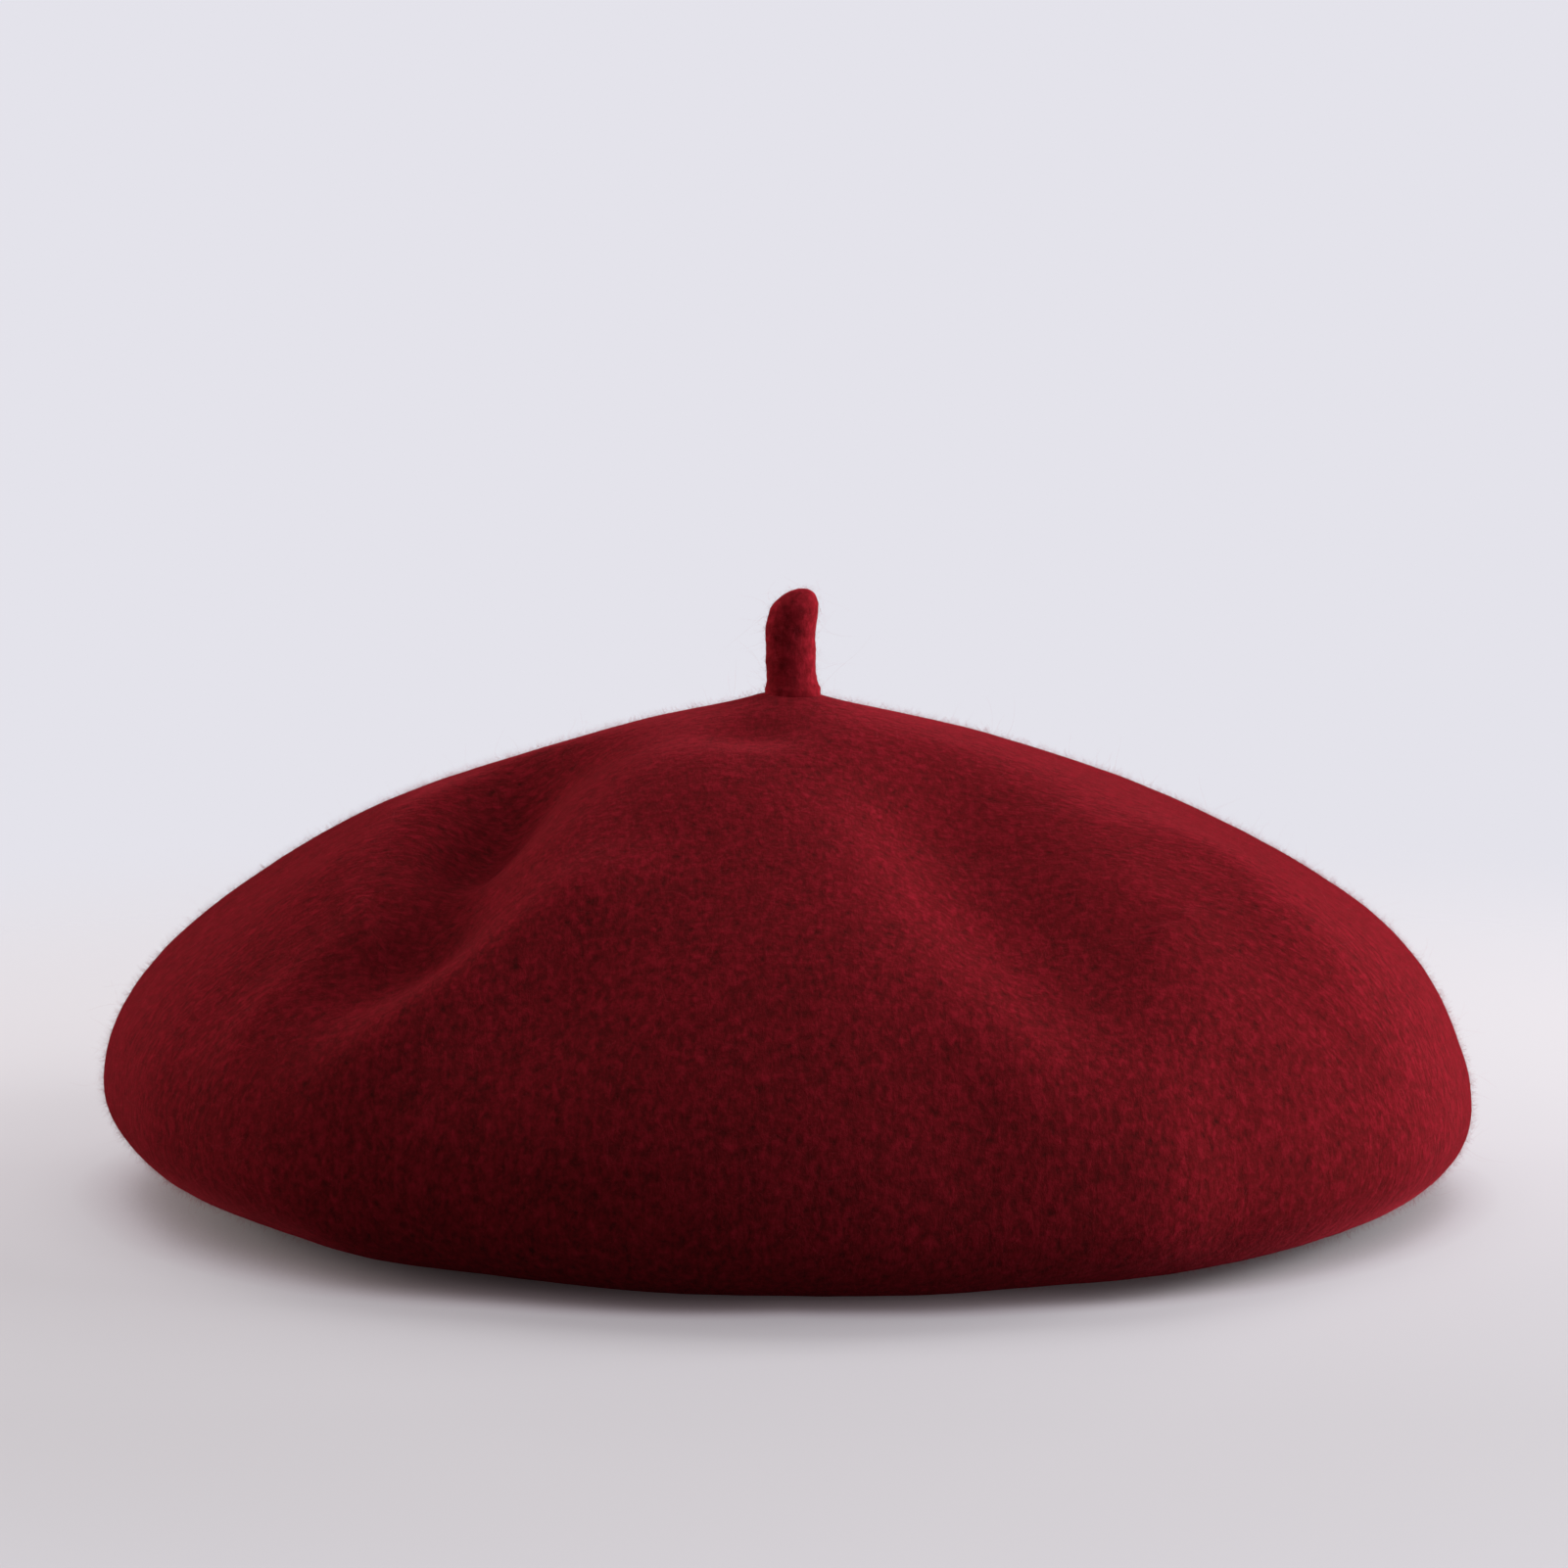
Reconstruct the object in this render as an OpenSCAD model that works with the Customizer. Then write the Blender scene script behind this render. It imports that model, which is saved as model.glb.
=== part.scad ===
// Felted wool beret: one-piece crown with a stem, a leather sweatband and a satin lining.
// Millimetres. +Z is up, -Y is the front, and the origin is the middle of the resting ring.

/* [Crown] */
// Diameter of the crown at its widest
crown_d = 280; // [250:1:300]
// Height of the crown above the surface it rests on
crown_h = 100; // [85:1:115]
// Height of the widest point above the surface
rim_h = 22; // [18:1:30]
// Diameter of the outer edge of the flat resting ring
rest_d = 204; // [200:1:220]
// Thickness of the felt
felt_t = 2.6; // [2:0.1:3.5]

/* [Stem] */
// Diameter of the felt stem
stem_d = 9.6; // [7:0.2:11]
// Height of the stem above the crown
stem_h = 22.8; // [16:0.2:30]

/* [Sweatband] */
// Head girth that the sweatband fits
head_girth = 560; // [540:5:580]
// Height of the leather sweatband
band_h = 28; // [22:1:32]
// Thickness of the leather
band_t = 0.9; // [0.6:0.1:1.2]

/* [Lining] */
// Slack between the felt and the lining
lining_gap = 2.6; // [2.2:0.1:4]
// Thickness of the satin
lining_t = 0.5; // [0.4:0.1:0.8]

/* [Labels] */
// Width of the blank patch in the middle of the lining
patch_w = 58; // [40:1:70]
// Depth of the blank patch
patch_d = 38; // [30:1:50]
// Width of the care label
label_w = 22; // [16:1:26]
// Height of the care label
label_h = 20; // [16:1:21]

/* [Hidden] */
$fn = 96;
SMALL_FN = 24;

FELT = "#7a1420";
SATIN = "#5c1019";
LEATHER = "#3a1c14";
RIBBON = "#4a0f17";
THREAD = "#8c2430";
WOVEN = "#e6ded2";

crown_r = crown_d / 2;
rest_r = rest_d / 2;
band_z = 0.4;                          // the band's lower edge, just clear of the table
band_top = band_z + band_h;
band_in = head_girth / (2 * PI);
band_out = band_in + band_t;
fit = 0.15;                            // clearance between two sewn layers
open_r = band_out + fit;               // edge of the felt round the head opening

// The felt's outer line has three spans, numbered by the whole part of t:
// 0 the crown from its middle to the rim, 1 the roll under the rim, 2 the flat resting ring.
CROWN_POWER = 1.4;
CROWN_ROOT = 0.515;
ROLL_IN = 1.04;
ROLL_DOWN = 0.92;
SPANS = 3;
CROWN_STEPS = 40;
ROLL_STEPS = 16;
RING_STEPS = 2;

function crown_line(t) =
    let (across = sin(90 * t))
    [crown_r * across,
     rim_h + (crown_h - rim_h) * pow(max(0, 1 - pow(across, CROWN_POWER)), CROWN_ROOT)];

function roll_line(t) =
    [rest_r + (crown_r - rest_r) * pow(max(0, cos(90 * t)), ROLL_IN),
     rim_h * (1 - pow(sin(90 * t), ROLL_DOWN))];

function ring_line(t) = [rest_r + (open_r - rest_r) * t, 0];

function felt_line(t) =
    t <= 1 ? crown_line(t) : t <= 2 ? roll_line(t - 1) : ring_line(min(t, SPANS) - 2);

// The direction square to the felt, pointing into the hat.
NUDGE = 0.004;
function inward(t) =
    t <= 0 ? [0, -1]
    : let (step = felt_line(min(t + NUDGE, SPANS)) - felt_line(max(t - NUDGE, 0)))
      [step.y, -step.x] / norm(step);

function inside(t, depth) = felt_line(t) + depth * inward(t);

// The lining hangs clear of the felt, and comes down to it where it is sewn in at the opening.
function lining_depth(t) =
    let (sewn = max(0, t - 1.5) / (SPANS - 1.5))
    felt_t + lining_gap + (fit - lining_gap) * sewn;

function steps_of(first, last) =
    let (counts = [CROWN_STEPS, ROLL_STEPS, RING_STEPS])
    [for (span = [first : last - 1])
        for (i = [0 : counts[span] - 1])
            span + i / counts[span],
     last];

function backwards(list) = [for (i = [len(list) - 1 : -1 : 0]) list[i]];

// A revolved layer of the hat from span line `first` to `last`.
module felt_layer(first, last, near, far) {
    at = steps_of(first, last);
    rotate_extrude()
        polygon(concat(
            [for (t = at) inside(t, near)],
            backwards([for (t = at) inside(t, far)])
        ));
}

module lining_layer(first, last, near = 0, far = lining_t) {
    at = steps_of(first, last);
    rotate_extrude()
        polygon(concat(
            [for (t = at) inside(t, lining_depth(t) + near)],
            backwards([for (t = at) inside(t, lining_depth(t) + far)])
        ));
}

// A ring between two radii, standing on z = low.
module ring(r_in, r_out, low, height) {
    translate([0, 0, low])
        difference() {
            cylinder(r = r_out, h = height);
            translate([0, 0, -1]) cylinder(r = r_in, h = height + 2);
        }
}

// The part of its children that lies in front of the back line, within a given width.
module back_strip(width, low, height) {
    intersection() {
        children();
        translate([-width / 2, band_in / 2, low]) cube([width, band_in, height]);
    }
}

// ---- Stem: the foot is a ball seated in a shallow felt dimple, so that the stem can lean.
stem_r = stem_d / 2;
foot_r = stem_r + 0.5;
seat_gap = 0.3;
foot_lift = foot_r - 1.1;              // height of the ball's middle above the crown
pivot_z = crown_h + foot_lift;
tip_round = 3.6;
ARC_STEPS = 10;

function arc(x, y, r, from, to) =
    [for (i = [0 : ARC_STEPS])
        let (a = from + (to - from) * i / ARC_STEPS)
        [x + r * cos(a), y + r * sin(a)]];

module stem() {
    shoulder = acos(stem_r / foot_r);
    tip_z = stem_h - foot_lift;
    foot = arc(0, 0, foot_r, -90, shoulder);
    tip = arc(stem_r - tip_round, tip_z - tip_round, tip_round, 0, 90);
    color(FELT)
        translate([0, 0, pivot_z])
            rotate_extrude()
                polygon(concat([[0, -foot_r]], [for (i = [1 : ARC_STEPS]) foot[i]], tip, [[0, tip_z]]));
}

module crown_shell() {
    color(FELT)
        difference() {
            felt_layer(0, SPANS, 0, felt_t);
            translate([0, 0, pivot_z]) sphere(r = foot_r + seat_gap);
        }
}

// The thread ends that hold the stem are knotted under the felt.
knot_r = 3.4;
knot_h = 1.5;
module stem_knot() {
    color(THREAD)
        translate([0, 0, crown_h - felt_t - 0.3 - knot_h])
            rotate_extrude()
                polygon(concat([[0, 0]], arc(knot_r - knot_h / 2, knot_h / 2, knot_h / 2, -90, 90), [[0, knot_h]]));
}

// ---- Lining: a round top and an under piece, sewn together round the rim.
module lining_top() {
    color(SATIN) lining_layer(0, 1);
}

module lining_under() {
    color(SATIN) lining_layer(1, SPANS);
}

// The seam's piping lies on the outside of the lining, against the hidden side of the felt.
seam_r = 0.9;
module lining_seam() {
    color(THREAD)
        rotate_extrude()
            translate([crown_r - felt_t - lining_gap + seam_r / 2, rim_h])
                circle(r = seam_r, $fn = SMALL_FN);
}

patch_t = 0.5;
module lining_patch() {
    color(WOVEN)
        intersection() {
            lining_layer(0, 1, lining_t, lining_t + patch_t);
            translate([-patch_w / 2, -patch_d / 2, rim_h]) cube([patch_w, patch_d, crown_h]);
        }
}

// Dashes of thread round the patch, a little in from its edge.
stitch_d = 0.5;
stitch_long = 3;
patch_margin = 2;
patch_pitch = 4.5;

module dashes_along(length) {
    count = floor(length / patch_pitch);
    for (i = [0 : count - 1])
        translate([(i - (count - 1) / 2) * patch_pitch - stitch_long / 2, -stitch_d / 2, rim_h])
            cube([stitch_long, stitch_d, crown_h]);
}

module patch_stitches() {
    inner_w = patch_w - 2 * patch_margin;
    inner_d = patch_d - 2 * patch_margin;
    color(THREAD)
        intersection() {
            lining_layer(0, 1, lining_t + patch_t, lining_t + patch_t + stitch_d / 2);
            for (side = [-1, 1]) {
                translate([0, side * inner_d / 2, 0]) dashes_along(inner_w);
                translate([side * inner_w / 2, 0, 0]) rotate(90) dashes_along(inner_d);
            }
        }
}

// ---- Sweatband: a leather strip bent to a ring, with its ends meeting at the back.
joint_gap = 1.2;
module sweatband() {
    color(LEATHER)
        difference() {
            ring(band_in, band_out, band_z, band_h);
            translate([-joint_gap / 2, band_in / 2, band_z - 1]) cube([joint_gap, band_in, band_h + 2]);
        }
}

tape_w = 14;
tape_t = 0.4;
tape_low = 7;
module band_joint_tape() {
    color(RIBBON)
        back_strip(tape_w, tape_low, band_top - tape_low)
            ring(band_out, band_out + tape_t, tape_low, band_top - tape_low);
}

// One row of stitches holds the band, the lining and the felt together at the opening.
stitch_z = 3.6;
stitch_count = 110;
module band_stitches() {
    color(THREAD)
        for (i = [0 : stitch_count - 1])
            rotate(90 + (i + 0.5) * 360 / stitch_count)
                translate([band_in, 0, stitch_z])
                    rotate([90, 0, 0])
                        cylinder(d = stitch_d, h = stitch_long, center = true, $fn = SMALL_FN);
}

// ---- Bow: a flat ribbon bow over the band's joint, standing on its top edge.
bow_w = 22;
bow_h = 7;
ribbon_t = 0.6;
loop_t = 2.4;
bow_z = band_top + fit + bow_h / 2;
bow_y = (band_in + band_out) / 2;

module bow_loop() {
    long = bow_w / 2;
    round_r = loop_t / 2;
    translate([0, bow_y, bow_z - bow_h / 2])
        linear_extrude(bow_h)
            difference() {
                union() {
                    translate([0, -round_r]) square([long - round_r, loop_t]);
                    translate([long - round_r, 0]) circle(r = round_r, $fn = SMALL_FN);
                }
                union() {
                    translate([ribbon_t, ribbon_t - round_r])
                        square([long - round_r - ribbon_t, loop_t - 2 * ribbon_t]);
                    translate([long - round_r, 0]) circle(r = round_r - ribbon_t, $fn = SMALL_FN);
                }
            }
}

module band_bow() {
    color(RIBBON) {
        bow_loop();
        mirror([1, 0, 0]) bow_loop();
    }
}

wrap_w = 4;
module bow_wrap() {
    outer = loop_t + 2 * (fit + ribbon_t);
    inner = loop_t + 2 * fit;
    color(RIBBON)
        translate([-wrap_w / 2, bow_y, bow_z])
            difference() {
                translate([0, -outer / 2, -bow_h / 2 + fit]) cube([wrap_w, outer, bow_h + ribbon_t]);
                translate([-1, -inner / 2, -bow_h / 2 + fit - 1]) cube([wrap_w + 2, inner, bow_h + 1]);
            }
}

// ---- Labels: they hang behind the band from its top edge, and flip up about that edge.
label_turn = 55;                       // degrees round from the back towards the left
label_t = 0.5;
label_clear = 0.5;
label_drop = 1;
tab_w = 10;
tab_h = 10;
hinge_r = band_out + label_clear + label_t;
hinge_z = band_top + label_drop;

module at_label() {
    rotate(label_turn) translate([0, hinge_r, hinge_z]) children();
}

module care_label() {
    color(WOVEN)
        at_label()
            translate([-label_w / 2, -label_t / 2, -label_h]) cube([label_w, label_t, label_h]);
}

module size_tab() {
    color(WOVEN)
        at_label()
            translate([-tab_w / 2, label_t / 2, -tab_h]) cube([tab_w, label_t, tab_h]);
}

// A bar of thread on the band's top edge, under the fold of the labels.
tack_d = 0.7;
module label_tack() {
    color(THREAD)
        rotate(label_turn)
            translate([0, (band_in + band_out) / 2, band_top + tack_d / 2])
                rotate([0, 90, 0])
                    cylinder(d = tack_d, h = label_w - 4, center = true, $fn = SMALL_FN);
}

crown_shell();
stem();
stem_knot();
lining_top();
lining_under();
lining_seam();
lining_patch();
patch_stitches();
sweatband();
band_joint_tape();
band_stitches();
band_bow();
bow_wrap();
care_label();
size_tab();
label_tack();
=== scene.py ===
"""A burgundy felted wool beret on a pale table: its felt, stem, leather band, lining and labels.

Lengths are in metres. +Z is up, -Y is the front, and the origin is the middle of the resting ring.
"""

import math

import bpy
import numpy as np
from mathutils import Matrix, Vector, noise


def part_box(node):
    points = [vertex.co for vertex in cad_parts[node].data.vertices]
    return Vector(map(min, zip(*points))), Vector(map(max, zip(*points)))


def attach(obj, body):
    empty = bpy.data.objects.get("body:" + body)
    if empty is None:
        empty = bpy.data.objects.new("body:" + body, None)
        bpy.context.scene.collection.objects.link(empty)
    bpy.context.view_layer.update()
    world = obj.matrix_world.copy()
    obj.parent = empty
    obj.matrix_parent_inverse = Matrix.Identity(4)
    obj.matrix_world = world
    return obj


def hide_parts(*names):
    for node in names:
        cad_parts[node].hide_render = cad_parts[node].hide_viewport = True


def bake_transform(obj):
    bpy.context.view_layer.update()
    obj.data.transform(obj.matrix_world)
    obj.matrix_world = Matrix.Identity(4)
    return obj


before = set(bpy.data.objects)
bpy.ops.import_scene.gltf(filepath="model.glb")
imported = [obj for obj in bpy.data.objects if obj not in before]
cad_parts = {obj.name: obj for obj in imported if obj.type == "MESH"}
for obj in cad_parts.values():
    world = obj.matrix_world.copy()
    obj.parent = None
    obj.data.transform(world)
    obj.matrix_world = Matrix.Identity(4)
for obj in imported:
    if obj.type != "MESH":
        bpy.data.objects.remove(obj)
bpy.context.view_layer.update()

MM = 0.001
TAU = 2 * math.pi

# ---------------------------------------------------------------- sizes, as in the CAD part
CROWN_R = 140 * MM
CROWN_H = 100 * MM
RIM_H = 22 * MM
REST_R = 102 * MM
FELT_T = 2.6 * MM
BAND_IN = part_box("sweatband")[1].x - 0.9 * MM
BAND_T = 0.9 * MM
BAND_LOW, BAND_TOP = (corner.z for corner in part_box("sweatband"))
FIT = 0.15 * MM
OPEN_R = BAND_IN + BAND_T + FIT
LINING_GAP = 2.6 * MM
LINING_T = 0.5 * MM
# The middle of the lining's near face, as a depth under the felt's outside.
LINING_DEPTH = FELT_T + LINING_GAP
STEM_R = 5.1 * MM
STEM_TOP = CROWN_H + 23.9 * MM
STEM_FOOT = CROWN_H + 3.4 * MM


# ---------------------------------------------------------------- the felt's own line
def smooth(value, low, high):
    """0 below low, 1 above high, and a smooth step between them."""
    share = np.clip((value - low) / (high - low), 0, 1)
    return share * share * (3 - 2 * share)


def felt_line(t):
    """Radius and height of the felt's outside: t 0 to 1 is the crown, 1 to 2 the roll, 2 to 3 the ring."""
    t = np.asarray(t, float)
    crown = np.clip(t, 0, 1) * math.pi / 2
    roll = np.clip(t - 1, 0, 1) * math.pi / 2
    ring = np.clip(t - 2, 0, 1)
    across = np.sin(crown)
    top_z = RIM_H + (CROWN_H - RIM_H) * np.clip(1 - across**1.4, 0, 1) ** 0.515
    roll_r = REST_R + (CROWN_R - REST_R) * np.clip(np.cos(roll), 0, 1) ** 1.04
    roll_z = RIM_H * (1 - np.sin(roll) ** 0.92)
    ring_r = REST_R + (OPEN_R - REST_R) * ring
    radius = np.where(t <= 1, CROWN_R * across, np.where(t <= 2, roll_r, ring_r))
    height = np.where(t <= 1, top_z, np.where(t <= 2, roll_z, 0.0))
    return radius, height


def outward(t):
    """The direction square to the felt, away from the hat's inside, as radius and height."""
    t = np.asarray(t, float)
    nudge = 0.02
    r0, z0 = felt_line(np.clip(t - nudge, 0, 3))
    r1, z1 = felt_line(np.clip(t + nudge, 0, 3))
    dr, dz = r1 - r0, z1 - z0
    length = np.hypot(dr, dz)
    return -dz / length, dr / length


# ---------------------------------------------------------------- the folds the felt has slumped into
# A fold's width changes from one side's to the other's over this far either side of its path.
SIDES_MERGE = 4 * MM


class Fold:
    """A long valley or ridge in the crown, seen from above: it runs along a smooth path of places.

    Its two sides have their own widths, and it fades in and out over a share of its length at both ends.
    """

    def __init__(self, *places, left, right, height, fade=0.25):
        self.path = round_off(np.array(places, float) * MM)
        self.left, self.right = left * MM, right * MM
        self.height = height * MM
        self.fade = fade

    def at(self, x, y):
        """The fold's height at plan places, from the nearest point of its path."""
        path = self.path
        flat = np.stack([x.ravel(), y.ravel()], 1)
        best = np.full(len(flat), np.inf)
        side = np.zeros(len(flat))
        along = np.zeros(len(flat))
        last = len(path) - 1
        for i in range(last):
            ahead = path[i + 1] - path[i]
            long = np.linalg.norm(ahead)
            to = flat - path[i]
            share = np.clip(to @ ahead / long**2, 0, 1)
            distance = np.hypot(*(to - share[:, None] * ahead).T)
            nearer = distance < best
            best = np.where(nearer, distance, best)
            side = np.where(nearer, (ahead[0] * to[:, 1] - ahead[1] * to[:, 0]) / long, side)
            along = np.where(nearer, (i + share) / last, along)
        width = self.left + (self.right - self.left) * smooth(-side, -SIDES_MERGE, SIDES_MERGE)
        ends = smooth(along, 0, self.fade) * smooth(1 - along, 0, self.fade)
        return (self.height * ends * np.exp(-((best / width) ** 2))).reshape(x.shape)


def round_off(path):
    """The same path with its corners cut four times over, and evenly spaced."""
    for _ in range(4):
        near, far = 0.75 * path[:-1] + 0.25 * path[1:], 0.25 * path[:-1] + 0.75 * path[1:]
        cut = np.stack([near, far], 1).reshape(-1, 2)
        path = np.concatenate([path[:1], cut[1:-1], path[-1:]])
    gone = np.concatenate([[0], np.cumsum(np.hypot(*np.diff(path, axis=0).T))])
    even = np.linspace(0, gone[-1], 61)
    return np.stack([np.interp(even, gone, path[:, 0]), np.interp(even, gone, path[:, 1])], 1)


# Places are seen from above, in millimetres: x to the right, y away from the front.
# A fold's left side is on the left hand of someone who walks from its start to its end.
FOLDS = (
    # the long dent on the left of the front: a steep upper wall, and a lower lip that curls to the left
    Fold((-50, 2), (-55, -14), (-60, -31), (-65, -48), (-70, -64), (-77, -77), (-87, -81),
         (-96, -70), left=17, right=11, height=-8.6, fade=0.22),
    Fold((-57, -10), (-62, -27), (-68, -44), (-74, -58), left=11, right=8, height=-4.4, fade=0.45),
    Fold((-18, -68), (-34, -81), (-49, -90), (-64, -98), (-79, -104), (-94, -98), (-104, -82),
         (-106, -62), left=9, right=12, height=3.6),
    # the crest of the left lobe
    Fold((-62, 2), (-74, -10), (-85, -26), (-98, -42), (-112, -52),
         left=11, right=16, height=1.8, fade=0.35),
    # the wide dent right of the middle, from the stem's foot to the rim, and the lip round its lower end
    Fold((30, -14), (33, -40), (35, -62), (38, -79), (44, -95), (57, -105), (76, -107),
         left=23, right=20, height=-8.5, fade=0.4),
    Fold((18, -110), (32, -120), (48, -125), (66, -121), (86, -108),
         left=11, right=10, height=3.2, fade=0.4),
    # the crest over that dent
    Fold((64, -18), (78, -28), (91, -46), (98, -66), (100, -84),
         left=15, right=14, height=2.8, fade=0.4),
    # the back
    Fold((-20, 34), (-42, 74), (-58, 116), left=15, right=18, height=-4.4, fade=0.3),
    Fold((22, 26), (50, 66), (84, 92), left=16, right=14, height=-5.0, fade=0.3),
    Fold((40, 4), (84, 14), (122, 26), left=14, right=16, height=-1.2, fade=0.35),
)
BULGES = (
    # (x, y, radius, height), in millimetres
    (-4, -118, 28, 2.2),
    (-50, -112, 18, -2.2),
    (-104, 10, 34, 1.8),
    (8, 96, 36, 2.0),
    (96, 44, 26, 1.2),
    (-20, -52, 18, 1.5),
    (-6, -25, 9, -1.7),
    (-24, -36, 12, 0.8),
)


# Each wave: how many to a metre, and how high.
SLOW_WAVES = (24, 1.1 * MM)
QUICK_WAVES = (170, 0.10 * MM)


def unevenness(x, y, z):
    """Slow and quick waves in the felt, the same at every layer."""
    out = np.zeros(x.size)
    for i, place in enumerate(np.stack([x.ravel(), y.ravel(), z.ravel()], 1)):
        for scale, height in (SLOW_WAVES, QUICK_WAVES):
            out[i] += height * noise.noise(Vector(place) * scale)
    return out.reshape(x.shape)


def slump(x, y, z, t):
    """How far the felt stands out of its plain round shape, along its own outward direction."""
    shape = sum(fold.at(x, y) for fold in FOLDS)
    for bx, by, radius, height in BULGES:
        apart = np.hypot(x - bx * MM, y - by * MM)
        shape = shape + height * MM * np.exp(-((apart / (radius * MM)) ** 2))
    # The felt can't slump at the stem's foot, nor where it rests.
    free = smooth(t, 0.025, 0.09) * (1 - smooth(t, 1.02, 1.5))
    loose = smooth(t, 0.02, 0.2) * (1 - smooth(t, 1.6, 2.0))
    return shape * free + unevenness(x, y, z) * loose


# How far the left of the rim sits above its middle, and how far the crown has slid to the right.
LEAN = 2.2 * MM
SLIDE = 4.0 * MM
# The felt is lifted this far off the table where its ring doesn't touch.
RING_LIFT = 1.3 * MM


def hump(radius, width, height):
    """A round hump about the crown's middle."""
    return height * np.exp(-((radius / width) ** 2))


def peak(radius, depth):
    """The crown's rise towards the stem, as a tent rises to its pole. The lining has only its wide part."""
    wide = hump(radius, 38 * MM, 1.2 * MM)
    sharp = hump(radius, 12 * MM, 1.2 * MM) + hump(radius, 6.5 * MM, 1.0 * MM)
    in_felt = depth < FELT_T + 1 * MM
    return wide + sharp * in_felt


def hat_points(t, turn, depth):
    """Points of the hat: t along its line, turn round it, and depth under the felt's outside."""
    t, turn, depth = np.broadcast_arrays(*(np.asarray(v, float) for v in (t, turn, depth)))
    radius, height = felt_line(t)
    out_r, out_z = outward(t)
    across, away = np.cos(turn), np.sin(turn)
    stand = slump(radius * across, radius * away, height, t) - depth
    # The left of the rim sits higher than the right.
    tilt = -LEAN * across * smooth(t, 0.3, 0.75) * (1 - smooth(t, 1.35, 2.0))
    # Half way down, the whole crown has slid a little to the right.
    slide = SLIDE * smooth(t, 0.3, 0.6) * (1 - smooth(t, 0.6, 0.9))
    reach = radius + stand * out_r
    # Only the inner part of the ring touches the table.
    off_table = smooth(radius, 93 * MM, 108 * MM) * (1 - smooth(radius, 112 * MM, 138 * MM))
    rise = peak(radius, depth) * (t < 1) + RING_LIFT * off_table * (t > 1)
    return np.stack([reach * across + slide, reach * away, height + stand * out_z + tilt + rise], axis=-1)


def layer(t, depth, turns):
    """One ring of points per t, at one depth or at a depth for each t."""
    column = np.asarray(t, float)[:, None]
    depths = np.broadcast_to(np.asarray(depth, float).reshape(-1, 1), column.shape)
    return hat_points(column, turns[None, :], depths)


def lining_depth(t):
    """The lining hangs clear of the felt, and comes down to it where it is sewn in at the opening."""
    sewn = np.maximum(0, np.asarray(t, float) - 1.5) / 1.5
    return LINING_DEPTH + (FIT - LINING_GAP) * sewn


# ---------------------------------------------------------------- mesh helpers
def new_object(name, points, faces, material):
    mesh = bpy.data.meshes.new(name)
    mesh.from_pydata([tuple(p) for p in points], [], faces)
    mesh.polygons.foreach_set("use_smooth", [True] * len(mesh.polygons))
    mesh.materials.append(material)
    mesh.validate()
    obj = bpy.data.objects.new(name, mesh)
    bpy.context.scene.collection.objects.link(obj)
    return obj


def skin(name, rows, material, first_pole=None, last_pole=None, loop=False):
    """A closed skin over rings of points: its ends are poles, or the last ring joins the first."""
    rings, count = rows.shape[:2]
    points = list(rows.reshape(-1, 3))
    faces = []
    for i in range(rings if loop else rings - 1):
        a, b = i * count, ((i + 1) % rings) * count
        for j in range(count):
            k = (j + 1) % count
            faces.append((a + j, b + j, b + k, a + k))
    if first_pole is not None:
        points.append(first_pole)
        faces += [(len(points) - 1, j, (j + 1) % count) for j in range(count)]
    if last_pole is not None:
        points.append(last_pole)
        base = (rings - 1) * count
        faces += [(len(points) - 1, base + (j + 1) % count, base + j) for j in range(count)]
    return new_object(name, points, faces, material)


def turns_of(count):
    """Even turns all the way round."""
    return np.arange(count) / count * TAU


# ---------------------------------------------------------------- materials
def make_material(name, **sockets):
    material = bpy.data.materials.new(name)
    material.use_nodes = True
    shader = material.node_tree.nodes["Principled BSDF"]
    for key, value in sockets.items():
        shader.inputs[key.replace("_", " ")].default_value = value
    return material


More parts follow.
